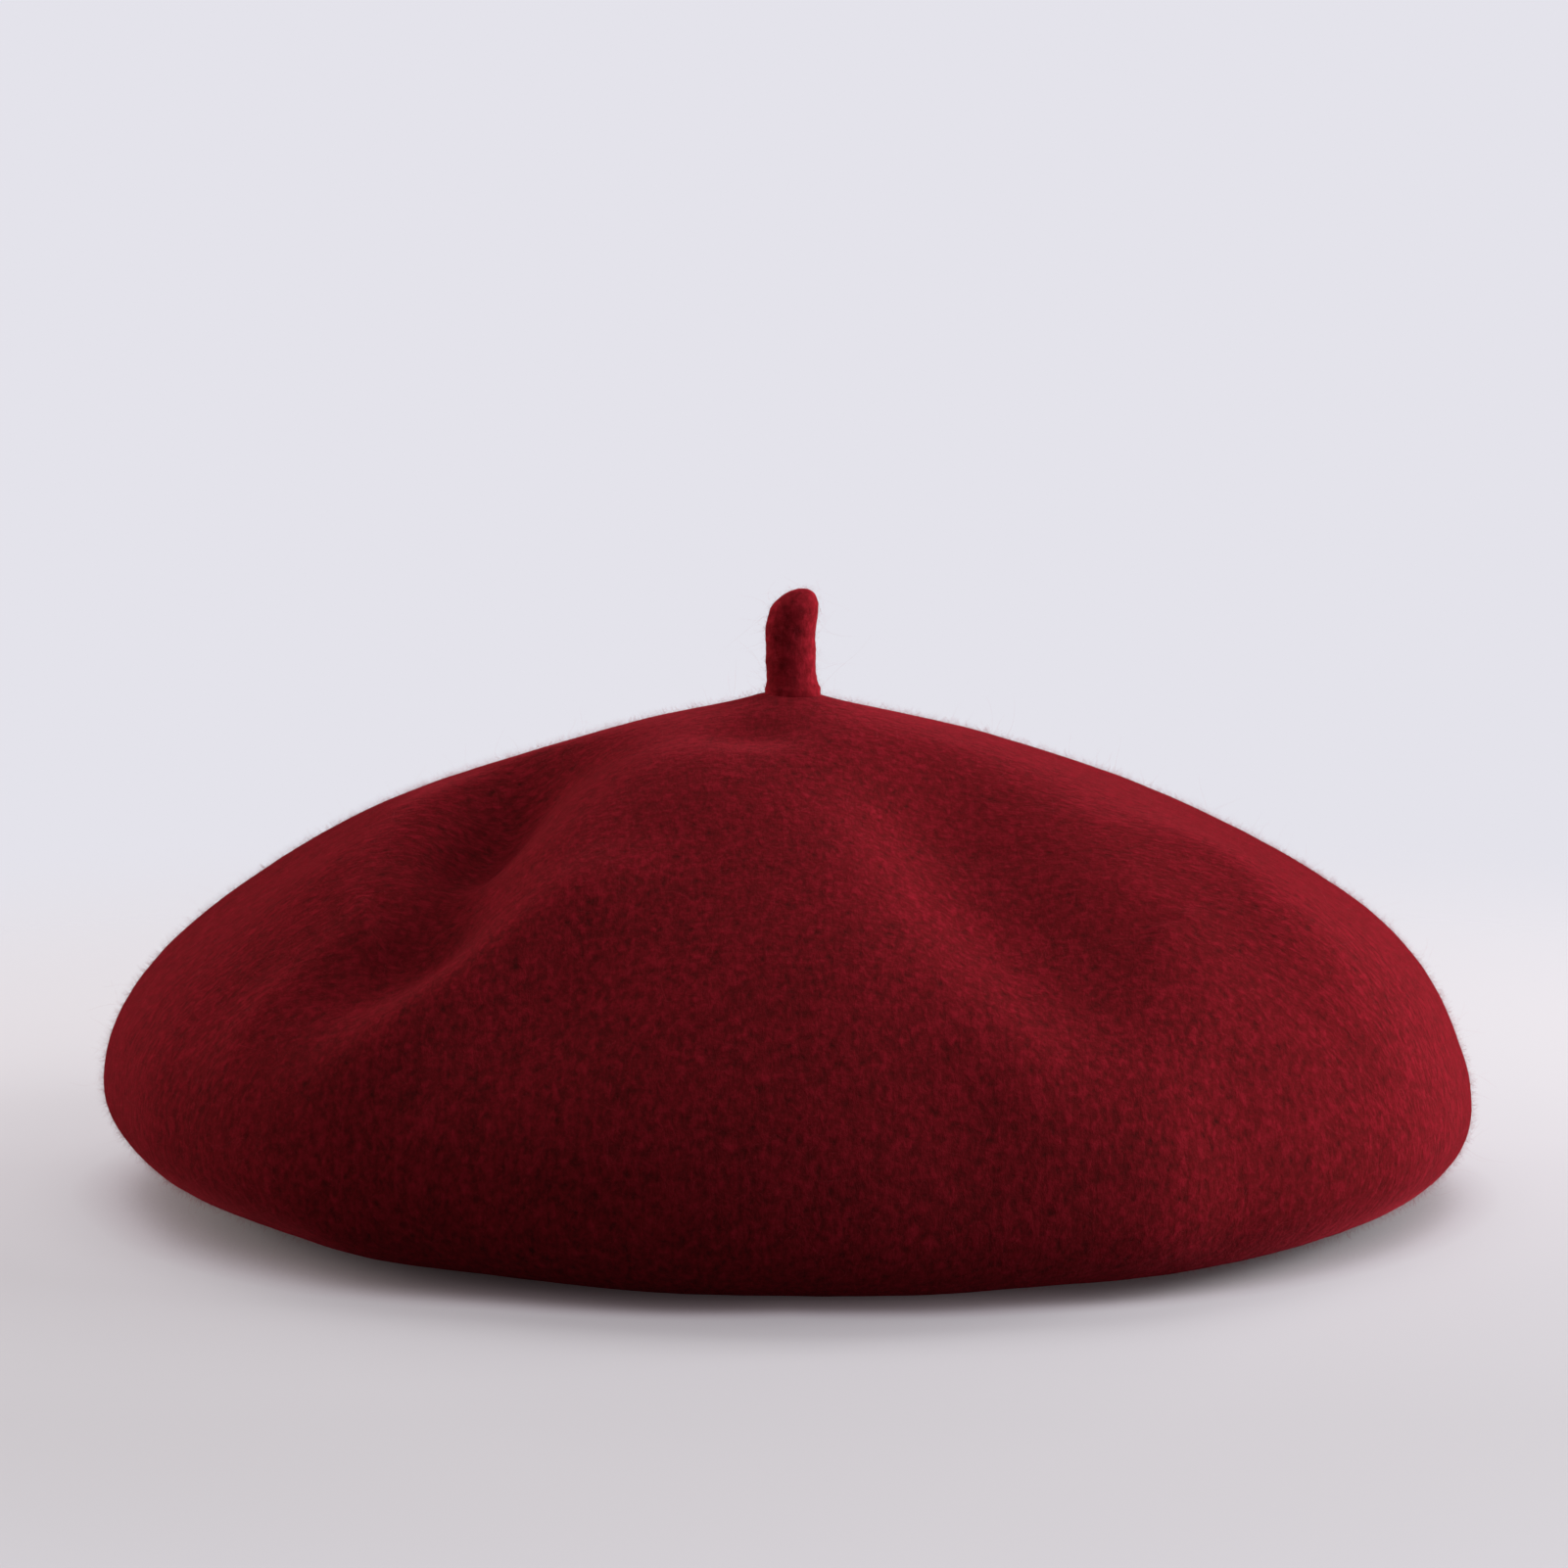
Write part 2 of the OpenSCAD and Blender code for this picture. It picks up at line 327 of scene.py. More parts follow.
class Paint:
    """Short ways to add nodes to a material."""

    def __init__(self, material):
        self.tree = material.node_tree
        self.shader = self.tree.nodes["Principled BSDF"]
        self.place = self.tree.nodes.new("ShaderNodeTexCoord").outputs["Object"]

    def node(self, kind, inputs=(), **settings):
        made = self.tree.nodes.new(kind)
        for key, value in settings.items():
            setattr(made, key, value)
        for key, value in dict(inputs).items():
            if isinstance(value, bpy.types.NodeSocket):
                self.tree.links.new(value, made.inputs[key])
            else:
                made.inputs[key].default_value = value
        return made

    def noise(self, scale, detail=2.0, rough=0.5, distort=0.0, place=None):
        made = self.node("ShaderNodeTexNoise", {
            "Vector": place or self.place, "Scale": scale, "Detail": detail,
            "Roughness": rough, "Distortion": distort,
        })
        return made.outputs["Fac"]

    def stretched(self, scale):
        return self.node("ShaderNodeMapping", {"Vector": self.place, "Scale": scale}).outputs["Vector"]

    def span(self, value, low, high, to_low, to_high):
        made = self.node("ShaderNodeMapRange", {
            "Value": value, "From Min": low, "From Max": high, "To Min": to_low, "To Max": to_high,
        })
        return made.outputs["Result"]

    def math(self, operation, a, b):
        return self.node("ShaderNodeMath", {0: a, 1: b}, operation=operation).outputs[0]

    def ramp(self, value, *stops):
        made = self.node("ShaderNodeValToRGB", {"Fac": value})
        ramp = made.color_ramp
        while len(ramp.elements) < len(stops):
            ramp.elements.new(0.5)
        for element, (at, colour) in zip(ramp.elements, stops):
            element.position = at
            element.color = (*colour, 1)
        return made.outputs["Color"]

    def blend(self, share, a, b):
        return self.node("ShaderNodeMix", {0: share, 2: a, 3: b}).outputs[0]

    def mix(self, share, a, b, blend="MIX"):
        made = self.node("ShaderNodeMix", data_type="RGBA", blend_type=blend)
        for socket, value in zip((made.inputs[0], made.inputs[6], made.inputs[7]), (share, a, b)):
            if isinstance(value, bpy.types.NodeSocket):
                self.tree.links.new(value, socket)
            else:
                socket.default_value = value if isinstance(value, float) else (*value, 1)
        return made.outputs[2]

    def bump(self, height, distance, strength=1.0, under=None):
        inputs = {"Height": height, "Distance": distance, "Strength": strength}
        if under is not None:
            inputs["Normal"] = under
        return self.node("ShaderNodeBump", inputs).outputs["Normal"]

    def colour(self, value):
        self.tree.links.new(value, self.shader.inputs["Base Color"])

    def normal(self, value):
        self.tree.links.new(value, self.shader.inputs["Normal"])

    def roughness(self, value):
        self.tree.links.new(value, self.shader.inputs["Roughness"])


def felt_material(name, dark, middle, light):
    """Milled wool: clumps of fibre a millimetre or so across, with dark gaps and lighter fibre tips."""
    material = make_material(name, Roughness=0.95, Sheen_Weight=0.2, Sheen_Roughness=0.35,
                             Specular_IOR_Level=0.0)
    material.node_tree.nodes["Principled BSDF"].inputs["Sheen Tint"].default_value = (1.0, 0.08, 0.12, 1)
    paint = Paint(material)
    clumps = paint.noise(560, detail=3.0, rough=0.62, distort=0.25)
    # Fibres lie down the slope: away from the front and back along y, and away from the sides along x.
    place = paint.node("ShaderNodeSeparateXYZ", {"Vector": paint.place})
    sideways = paint.math("SUBTRACT", paint.math("ABSOLUTE", place.outputs["X"], 0.0),
                          paint.math("ABSOLUTE", place.outputs["Y"], 0.0))
    along_y = paint.noise(1.0, detail=3.0, rough=0.7, distort=0.4, place=paint.stretched((880, 300, 380)))
    along_x = paint.noise(1.0, detail=3.0, rough=0.7, distort=0.4, place=paint.stretched((300, 880, 380)))
    streaks = paint.blend(paint.span(sideways, -30 * MM, 30 * MM, 0.0, 1.0), along_y, along_x)
    cloud = paint.noise(55, detail=3.0, rough=0.6)
    weave = paint.math("ADD", paint.math("MULTIPLY", clumps, 0.5), paint.math("MULTIPLY", streaks, 0.5))
    shade = paint.math("ADD", weave, paint.span(cloud, 0.3, 0.7, -0.02, 0.02))
    brushed = paint.ramp(shade, (0.32, dark), (0.5, middle), (0.69, light))
    # Below 5.6 mm, and most below 2.4 mm, the felt is painted darker, down to 0.55 of its colour: a painted
    # contact shadow where it rests on the table.
    painted_contact_shade = paint.span(place.outputs["Z"], 2.4 * MM, 5.6 * MM, 0.45, 0.0)
    paint.colour(paint.mix(painted_contact_shade, brushed, (0.0, 0.0, 0.0), "MULTIPLY"))
    paint.normal(paint.bump(weave, 0.6 * MM, 0.55, paint.bump(cloud, 1.5 * MM, 0.25)))
    return material


FELT = felt_material("felt_wool", (0.044, 0.0055, 0.0056), (0.112, 0.0062, 0.0087),
                     (0.21, 0.0086, 0.0163))
# The stem's felt is the crown's felt painted lighter, nearly twice as light: painted light on the stem.
STEM_FELT_PAINTED_LIGHTER = felt_material("stem_wool", (0.08, 0.006, 0.008), (0.21, 0.010, 0.016), (0.36, 0.016, 0.03))


def satin_material():
    material = make_material("satin", Roughness=0.46, Specular_IOR_Level=0.35, Sheen_Weight=0.25,
                             Sheen_Roughness=0.3)
    paint = Paint(material)
    warp = paint.noise(1.0, detail=2.0, place=paint.stretched((2600, 300, 300)))
    cloud = paint.noise(70, detail=2.0)
    shade = paint.math("ADD", paint.math("MULTIPLY", warp, 0.7), paint.math("MULTIPLY", cloud, 0.3))
    paint.colour(paint.ramp(shade, (0.3, (0.055, 0.004, 0.009)), (0.7, (0.12, 0.010, 0.020))))
    paint.normal(paint.bump(warp, 0.10 * MM, 0.5))
    return material


def leather_material():
    material = make_material("band_leather", Roughness=0.5, Specular_IOR_Level=0.4)
    paint = Paint(material)
    pores = paint.node("ShaderNodeTexVoronoi", {"Vector": paint.place, "Scale": 900, "Randomness": 1.0},
                       feature="DISTANCE_TO_EDGE").outputs["Distance"]
    creases = paint.noise(240, detail=3.0, rough=0.6, distort=1.0)
    grain = paint.span(pores, 0.0, 0.22, 0.0, 1.0)
    worn = paint.span(creases, 0.35, 0.7, 0.0, 1.0)
    paint.colour(paint.mix(worn, (0.045, 0.014, 0.008), (0.10, 0.034, 0.018)))
    paint.roughness(paint.span(creases, 0.3, 0.7, 0.42, 0.6))
    paint.normal(paint.bump(grain, 0.12 * MM, 0.6, paint.bump(creases, 0.3 * MM, 0.4)))
    return material


def woven_material(name, dark, light, ribs, rough=0.8, shiny=0.2, across="XY", along="Z"):
    """A woven tape or ribbon: fine ribs that follow each other along one axis, crossed by finer threads."""
    material = make_material(name, Roughness=rough, Specular_IOR_Level=shiny, Sheen_Weight=0.2)
    paint = Paint(material)
    split = paint.node("ShaderNodeSeparateXYZ", {"Vector": paint.place})

    def wave(axis, scale):
        turn = paint.math("MULTIPLY", split.outputs[axis], scale * TAU)
        return paint.span(paint.math("SINE", turn, 0.0), -1, 1, 0, 1)

    threads_across = wave(across[0], ribs * 1.7)
    for axis in across[1:]:
        threads_across = paint.math("MAXIMUM", threads_across, wave(axis, ribs * 1.7))
    weave = paint.math("MULTIPLY", threads_across, wave(along, ribs))
    fuzz = paint.noise(1500, detail=2.0)
    shade = paint.math("ADD", paint.math("MULTIPLY", weave, 0.7), paint.math("MULTIPLY", fuzz, 0.3))
    paint.colour(paint.ramp(shade, (0.15, dark), (0.7, light)))
    paint.normal(paint.bump(weave, 0.15 * MM, 0.6))
    return material


def thread_material():
    material = make_material("thread", Roughness=0.6, Specular_IOR_Level=0.3, Sheen_Weight=0.3)
    paint = Paint(material)
    twist = paint.noise(1.0, detail=1.0, place=paint.stretched((2200, 2200, 2200)))
    paint.colour(paint.ramp(twist, (0.35, (0.10, 0.008, 0.014)), (0.65, (0.28, 0.03, 0.045))))
    paint.normal(paint.bump(twist, 0.15 * MM, 0.7))
    return material


SATIN = satin_material()
PIPING = woven_material("piping_cord", (0.04, 0.003, 0.006), (0.11, 0.008, 0.016), 1400,
                        rough=0.45, shiny=0.4)
LEATHER = leather_material()
RIBBON = woven_material("ribbon", (0.03, 0.002, 0.005), (0.11, 0.008, 0.018), 1100, rough=0.55, shiny=0.35)
WOVEN_PATCH = woven_material("patch_weave", (0.30, 0.20, 0.09), (0.56, 0.42, 0.22), 1300,
                             rough=0.5, shiny=0.4, across="X", along="Y")
WOVEN_LABEL = woven_material("label_weave", (0.55, 0.53, 0.49), (0.82, 0.80, 0.76), 1500)
THREAD = thread_material()


def fibre_material(name, colour, through):
    """Loose wool fibre: it scatters light back, and lets some of it through."""
    material = bpy.data.materials.new(name)
    material.use_nodes = True
    tree = material.node_tree
    shader = tree.nodes["Principled BSDF"]
    shader.inputs["Base Color"].default_value = (*colour, 1)
    shader.inputs["Roughness"].default_value = 0.8
    shader.inputs["Specular IOR Level"].default_value = 0.2
    glow = tree.nodes.new("ShaderNodeBsdfTranslucent")
    glow.inputs["Color"].default_value = (*colour, 1)
    both = tree.nodes.new("ShaderNodeMixShader")
    both.inputs["Fac"].default_value = through
    tree.links.new(shader.outputs[0], both.inputs[1])
    tree.links.new(glow.outputs[0], both.inputs[2])
    tree.links.new(both.outputs[0], tree.nodes["Material Output"].inputs["Surface"])
    return material


def fuzz(obj, group, name, count, length, radius, material, seed, wander=0.5):
    """Loose fibres that stand off a felt piece, from the vertices in one group, for the eye only."""
    obj.data.materials.append(material)
    layer_of = obj.modifiers.new(name, "PARTICLE_SYSTEM").particle_system
    layer_of.seed = seed
    layer_of.vertex_group_density = group
    hair = layer_of.settings
    hair.type = "HAIR"
    hair.count = count
    hair.hair_length = length
    hair.hair_step = 4
    hair.render_step = 3
    hair.use_advanced_hair = True
    hair.emit_from = "FACE"
    hair.use_even_distribution = True
    hair.brownian_factor = wander * length
    hair.factor_random = 0.6 * length
    hair.use_hair_bspline = True
    hair.material = len(obj.data.materials)
    hair.root_radius = 1.0
    hair.tip_radius = 0.35
    hair.radius_scale = radius
    hair.child_type = "NONE"


def outer_group(obj, count):
    """A vertex group, named outer, of a piece's first count vertices."""
    group = obj.vertex_groups.new(name="outer")
    group.add(list(range(count)), 1.0, "REPLACE")
    return group.name


WOOL_FIBRE = fibre_material("wool_fibre", (0.30, 0.010, 0.022), 0.5)
PALE_FIBRE = fibre_material("pale_fibre", (0.42, 0.035, 0.055), 0.5)


# ---------------------------------------------------------------- the crown
TURNS = 480
# Rows of points on the outside of the crown, of the roll and of the ring, and on all of the inside.
CROWN_ROWS, ROLL_ROWS, RING_ROWS = 104, 40, 8
INNER_ROWS = 36


def crown():
    """The felt: one closed skin, from the stem's foot over the rim to the opening and back inside."""
    turns = turns_of(TURNS)
    outer_t = np.concatenate([
        np.linspace(0.03, 1, CROWN_ROWS)[:-1],
        np.linspace(1, 2, ROLL_ROWS)[:-1],
        np.linspace(2, 2.98, RING_ROWS),
    ])
    inner_t = np.concatenate([np.linspace(2.98, 2, 5), np.linspace(2, 0.03, INNER_ROWS - 5)])
    outer = layer(outer_t, 0.0, turns)
    edge = layer([3.0, 3.0], [0.5 * MM, FELT_T - 0.5 * MM], turns)
    inner = layer(inner_t, FELT_T, turns)
    rows = np.concatenate([outer, edge, inner])
    top = (0, 0, STEM_FOOT)
    under = (0, 0, STEM_FOOT - FELT_T)
    shell = skin("crown_felt", rows, FELT, top, under)
    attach(shell, "crown")
    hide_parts("crown_shell")
    # The fibres grow down to half way round the roll, where the felt turns in under the hat.
    outer_rows = np.count_nonzero(outer_t < 1.5)
    group = outer_group(shell, outer_rows * TURNS)
    fuzz(shell, group, "nap", 140000, 0.55 * MM, 0.016 * MM, WOOL_FIBRE, 3)
    fuzz(shell, group, "stray_fibres", 1300, 1.9 * MM, 0.012 * MM, PALE_FIBRE, 5, wander=1.2)


# ---------------------------------------------------------------- the stem
STEM_SUNK = 1.6 * MM
STEM_TALL = STEM_TOP - STEM_FOOT
TIP_LONG = 4.6 * MM
TIP_SLANT = 0.16
FOOT_FLARE = 0.6 * MM


def stem_ring(lift, turns):
    """One ring of the stem's points, this far above its foot."""
    share = lift / STEM_TALL
    low_bend = -0.5 * MM * math.sin(math.pi * min(max(share, 0) / 0.9, 1))
    top_bend = 3.1 * MM * max(0, share - 0.5) ** 1.5
    sway = 0.9 * MM + low_bend + top_bend
    taper = 0.15 * MM * max(0, share - 0.6) / 0.4
    flare = FOOT_FLARE * math.exp(-max(lift, 0) / (0.9 * MM)) - taper
    to_tip = (STEM_TALL - lift) / TIP_LONG
    tip = math.sqrt(max(0.0, 1 - (1 - min(to_tip, 1)) ** 1.8))
    radius = (STEM_R + flare) * max(tip, 0.02)
    lump_high = 0.30 * MM * min(1, max(share, 0) * 4)
    ring = []
    for turn in turns:
        c, s = math.cos(turn), math.sin(turn)
        lump = noise.noise(Vector((c * 1.2, s * 1.2, share * 4.0))) * lump_high
        fine = noise.noise(Vector((c * 5, s * 5, share * 22))) * 0.10 * MM
        reach = radius + (lump + fine) * tip
        slant = TIP_SLANT * (reach * c - 1.0 * MM) * float(smooth(share, 0.75, 1.0))
        ring.append((sway + reach * c, reach * s, STEM_FOOT + lift + slant))
    return ring


def stem():
    """A rolled felt stem that leans a little left, then right, with a slanting blunt tip."""
    rings, sides = 64, 48
    lifts = [-STEM_SUNK + (STEM_TALL + STEM_SUNK) * i / (rings - 1) for i in range(rings)]
    rows = np.array([stem_ring(lift, turns_of(sides)) for lift in lifts])
    under = (0, 0, STEM_FOOT - STEM_SUNK - 0.2 * MM)
    piece = skin("felt_stem", rows[:-1], STEM_FELT_PAINTED_LIGHTER, under, rows[-1].mean(0))
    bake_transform(piece)
    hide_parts("stem")
    group = outer_group(piece, len(piece.data.vertices))
    fuzz(piece, group, "nap", 2600, 1.0 * MM, 0.016 * MM, WOOL_FIBRE, 7)
    fuzz(piece, group, "stray_fibres", 150, 3.0 * MM, 0.012 * MM, PALE_FIBRE, 9, wander=1.4)


# ---------------------------------------------------------------- the lining
def puckers(t, turns):
    """The satin's slack: small gathers that run in from the rim's seam, and a billow clear of the patch."""
    out = np.empty((len(t), len(turns)))
    for i, row in enumerate(t):
        from_rim = abs(row - 1)
        gather = math.exp(-from_rim / 0.22)
        for j, turn in enumerate(turns):
            c, s = math.cos(turn), math.sin(turn)
            fine = noise.noise(Vector((c * 17, s * 17, row * 1.2)))
            slow = noise.noise(Vector((c * 2.4, s * 2.4, row * 3.0 + 7)))
            out[i, j] = (0.9 * fine * gather + 0.9 * slow * min(1, from_rim / 0.3)) * MM
    beside_patch = smooth(np.asarray(t), 0.27, 0.42)[:, None]
    return np.clip(out, -1.3 * MM, 1.6 * MM) * beside_patch


def lining_piece(name, t, turns, held_edges, closed_middle=False):
    """A thin closed piece of satin under the felt, held still where t is one of held_edges."""
    t = np.asarray(t, float)
    held = np.ones_like(t)
    for edge in held_edges:
        held = held * smooth(np.abs(t - edge), 0.0, 0.08)
    slack = puckers(t, turns) * held[:, None]
    near = lining_depth(t)[:, None] + slack
    outer = hat_points(t[:, None], turns[None, :], near)
    inner = hat_points(t[:, None], turns[None, :], near + LINING_T)
    rows = np.concatenate([outer, inner[::-1]])
    if closed_middle:
        piece = skin(name, rows, SATIN, outer[0].mean(0), inner[0].mean(0))
    else:
        piece = skin(name, rows, SATIN, loop=True)
    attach(piece, "crown")
    return piece


def lining():
    turns = turns_of(288)
    top_t = np.concatenate([[0.003, 0.01, 0.02], np.linspace(0.035, 1.0, 60)])
    top = lining_piece("lining_crown", top_t, turns, (1.0,), True)
    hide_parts("lining_top")
    under = lining_piece("lining_roll", np.linspace(1.004, 3.0, 34), turns, (1.0, 3.0))
    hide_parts("lining_under")

    def seam_point(turn):
        return hat_points(1.0, turn, LINING_DEPTH - 0.45 * MM)

    piping = tube_round("rim_piping", 0.9 * MM, 360, 10, seam_point, PIPING)
    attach(piping, "crown")
    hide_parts("lining_seam")


def tube_round(name, radius, steps, sides, centre, material):
    """A tube round the hat, whose middle line is centre(turn)."""
    rings = []
    for turn in turns_of(steps):
        middle = centre(turn)
        out = np.array([math.cos(turn), math.sin(turn), 0.0])
        up = np.array([0.0, 0.0, 1.0])
        ring = [middle + radius * (math.cos(a) * out + math.sin(a) * up) for a in turns_of(sides)]
        rings.append(ring)
    return skin(name, np.array(rings), material, loop=True)


def patch():
    """The blank patch in the middle of the lining, and the dashes of thread round it."""
    low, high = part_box("lining_patch")
    columns, lines = 49, 33
    x = np.linspace(low.x, high.x, columns)
    y = np.linspace(low.y, high.y, lines)
    gx, gy = np.meshgrid(x, y)
    lift = LINING_DEPTH + LINING_T
    under = on_lining(gx, gy, lift + 0.08 * MM)
    over = on_lining(gx, gy, lift + 0.5 * MM)
    cloth = slab("lining_patch_cloth", over, under, WOVEN_PATCH)
    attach(cloth, "crown")
    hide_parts("lining_patch")
    margin, pitch, long = 2 * MM, 4.5 * MM, 3 * MM
    half_x, half_y = high.x - margin, high.y - margin
    ends = []
    for half, other, flip in ((half_x, half_y, False), (half_y, half_x, True)):
        count = int(2 * half / pitch)
        for i in range(count):
            middle = (i - (count - 1) / 2) * pitch
            for side in (-other, other):
                a, b = (middle - long / 2, side), (middle + long / 2, side)
                ends.append((a[::-1], b[::-1]) if flip else (a, b))
    dashes = []
    for a, b in ends:
        spots = [np.array(a) + (np.array(b) - np.array(a)) * k / 4 for k in range(5)]
        # Each dash goes down into the cloth at both ends.
        depths = [lift + (0.6 - sunk) * MM for sunk in (0.35, 0.12, 0.05, 0.12, 0.35)]
        dashes.append([on_lining(x, y, depth) for (x, y), depth in zip(spots, depths)])
    thread = threads("patch_thread", dashes, 0.25 * MM, THREAD)
    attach(thread, "crown")
    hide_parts("patch_stitches")


def on_lining(x, y, depth):
    """Points at a depth under the crown's outside, where the crown is over the plan place x, y."""
    x, y = np.asarray(x, float), np.asarray(y, float)
    t = np.arcsin(np.clip(np.hypot(x, y) / CROWN_R, 0, 1)) * 2 / math.pi
    return hat_points(t, np.arctan2(y, x), depth)


def slab(name, over, under, material):
    """A thin closed sheet between two grids of points of the same shape."""
    lines, columns = over.shape[:2]
    count = lines * columns
    points = list(over.reshape(-1, 3)) + list(under.reshape(-1, 3))
    faces = []
    for i in range(lines - 1):
        for j in range(columns - 1):
            a, b = i * columns + j, (i + 1) * columns + j
            faces.append((a, a + 1, b + 1, b))
            faces.append((count + a, count + b, count + b + 1, count + a + 1))
    rim = [(0, j) for j in range(columns)] + [(i, columns - 1) for i in range(1, lines)]
    rim += [(lines - 1, j) for j in range(columns - 2, -1, -1)] + [(i, 0) for i in range(lines - 2, 0, -1)]
    rim = [i * columns + j for i, j in rim]
    faces += [(b, a, count + a, count + b) for a, b in zip(rim, rim[1:] + rim[:1])]
    return new_object(name, points, faces, material)


def threads(name, paths, radius, material, sides=6):
    """Short lengths of thread, one for each path of points, as one object of separate round pieces."""
    points, faces = [], []
    for path in paths:
        path = np.array(path)
        start = len(points)
        for k, spot in enumerate(path):
            ahead = path[min(k + 1, len(path) - 1)] - path[max(k - 1, 0)]
            ahead = ahead / np.linalg.norm(ahead)
            side = np.cross(ahead, (0.0, 0.0, 1.0) if abs(ahead[2]) < 0.8 else (1.0, 0.0, 0.0))
            side = side / np.linalg.norm(side)
            up = np.cross(side, ahead)
            thin = 0.6 if k in (0, len(path) - 1) else 1.0
            for a in turns_of(sides):
                points.append(spot + radius * thin * (math.cos(a) * side + math.sin(a) * up))
        for k in range(len(path) - 1):
            for j in range(sides):
                a, b = start + k * sides, start + (k + 1) * sides
                n = (j + 1) % sides
                faces.append((a + j, a + n, b + n, b + j))
        faces.append(tuple(start + j for j in reversed(range(sides))))
        faces.append(tuple(start + (len(path) - 1) * sides + j for j in range(sides)))
    return new_object(name, points, faces, material)


# ---------------------------------------------------------------- the sweatband and what is on it
BACK = math.pi / 2
BAND_OUT = BAND_IN + BAND_T


def round_point(radius, turn, z):
    return np.array([radius * math.cos(turn), radius * math.sin(turn), z])


def strip_round(name, section, first, last, steps, material):
    """A strip bent round the hat from one turn to another; section is a loop of (radius, height)."""
    turns = np.linspace(first, last, steps)
    rings = np.array([[round_point(r, turn, z) for r, z in section] for turn in turns])
    return skin(name, rings, material, rings[0].mean(0), rings[-1].mean(0))


def rounded_section(r_in, r_out, low, high, lines=(), corner=0.3 * MM):
    """A strip's section with rounded edges, and grooves pressed into its inner face at given heights."""
    depth, half = 0.12 * MM, 0.35 * MM
    inner = [(r_in + corner, low), (r_in + 0.3 * corner, low + 0.3 * corner), (r_in, low + corner)]
    for z in lines:
        inner += [(r_in, z - half), (r_in + depth, z), (r_in, z + half)]
    inner += [(r_in, high - corner), (r_in + 0.3 * corner, high - 0.3 * corner), (r_in + corner, high)]
    middle = [(r_in, z) for z in np.linspace(low + 5 * MM, high - 5 * MM, 8)]
    inner = sorted(inner[:3] + inner[3:-3] + middle, key=lambda p: p[1]) + inner[-3:]
    inner = sorted(set(inner), key=lambda p: (p[1], p[0]))
    outer = [(r_out - corner, high), (r_out, high - corner), (r_out, low + corner), (r_out - corner, low)]
    return inner + outer


def sweatband():
    """The leather band, the tape behind its joint, and the stitches along its lower edge."""
    gap = 0.6 * MM / BAND_IN
    lines = (BAND_LOW + 1.6 * MM, BAND_TOP - 2.0 * MM, BAND_TOP - 3.2 * MM)
    section = rounded_section(BAND_IN + 0.03 * MM, BAND_OUT - 0.03 * MM, BAND_LOW, BAND_TOP, lines)
    band = strip_round("leather_band", section, BACK + gap, BACK + TAU - gap, 361, LEATHER)
    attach(band, "crown")
    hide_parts("sweatband")

    low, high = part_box("band_joint_tape")
    half = (high.x - low.x) / 2 / BAND_OUT
    section = rounded_section(BAND_OUT + 0.02 * MM, BAND_OUT + 0.4 * MM, low.z, high.z, corner=0.12 * MM)
    tape = strip_round("joint_ribbon", section, BACK - half, BACK + half, 25, RIBBON)
    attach(tape, "crown")
    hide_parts("band_joint_tape")

    stitch_z = sum(corner.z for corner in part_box("band_stitches")) / 2
    count, long = 110, 3.4 * MM
    dashes = []
    for i in range(count):
        middle = BACK + (i + 0.5) * TAU / count
        spots = []
        for k, sunk in zip(range(-2, 3), (0.4, 0.02, -0.08, 0.02, 0.4)):
            turn = middle + k / 4 * long / BAND_IN
            spots.append(round_point(BAND_IN + sunk * MM, turn, stitch_z + 0.06 * k * MM))
        dashes.append(spots)
    thread = threads("band_thread", dashes, 0.25 * MM, THREAD)
    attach(thread, "crown")
    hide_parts("band_stitches")


# The ribbon's section in the bow: shares of its width and of its thickness, once round.
RIBBON_LOOP = (
    (-0.5, -0.5), (-0.5, 0.5), (-0.25, 0.5), (0, 0.5), (0.25, 0.5), (0.5, 0.5),
    (0.5, -0.5), (0.25, -0.5), (0, -0.5), (-0.25, -0.5),
)
WRAP_LOOP = ((-1, -0.5), (-1, 0.5), (-0.5, 0.72), (0, 0.8), (0.5, 0.72), (1, 0.5), (1, -0.5))


